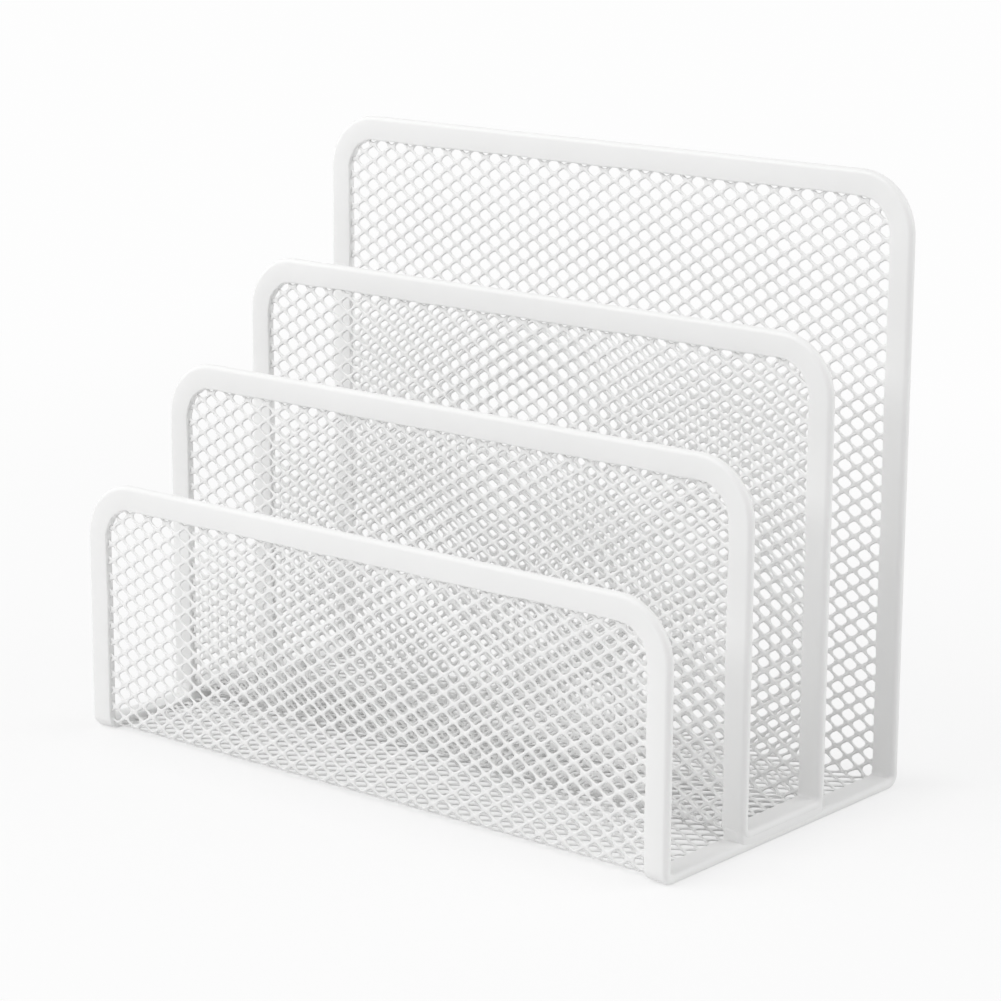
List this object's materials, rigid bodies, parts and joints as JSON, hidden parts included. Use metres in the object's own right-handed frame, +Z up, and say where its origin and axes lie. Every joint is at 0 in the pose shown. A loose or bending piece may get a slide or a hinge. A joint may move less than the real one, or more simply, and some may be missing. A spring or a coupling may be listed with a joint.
{
  "type": "mail organizer",
  "caption": "Open-ended desk mail organizer of white coated steel mesh, whose round-cornered walls step up from front to back to keep letters upright in slots.",
  "frame": {"origin": "middle of the footprint, on the surface that the organizer stands on", "axes": "+X along the width to the right, +Y from the low front wall to the high back wall, +Z up"},
  "size_m": [0.172, 0.088, 0.14],
  "materials": {
    "coated_mesh": "satin powder coat",
    "coated_strip": "satin powder coat"
  },
  "bodies": {
    "root": {"front_wall_mesh": "coated_mesh", "front_bend_mesh": "coated_mesh", "floor_mesh": "coated_mesh", "back_bend_mesh": "coated_mesh", "back_wall_mesh": "coated_mesh", "front_divider_mesh": "coated_mesh", "rear_divider_mesh": "coated_mesh", "front_wall_rim": "coated_strip", "back_wall_rim": "coated_strip", "front_divider_rim": "coated_strip", "rear_divider_rim": "coated_strip", "left_base_rim": "coated_strip", "right_base_rim": "coated_strip", "front_left_rim_bend": "coated_strip", "front_right_rim_bend": "coated_strip", "back_left_rim_bend": "coated_strip", "back_right_rim_bend": "coated_strip", "inner_front_bend_mesh": "coated_mesh", "inner_floor_mesh": "coated_mesh", "inner_back_bend_mesh": "coated_mesh", "inner_left_base_rim": "coated_strip", "inner_right_base_rim": "coated_strip", "inner_front_left_rim_bend": "coated_strip", "inner_front_right_rim_bend": "coated_strip", "inner_back_left_rim_bend": "coated_strip", "inner_back_right_rim_bend": "coated_strip"}
  },
  "joints": []
}
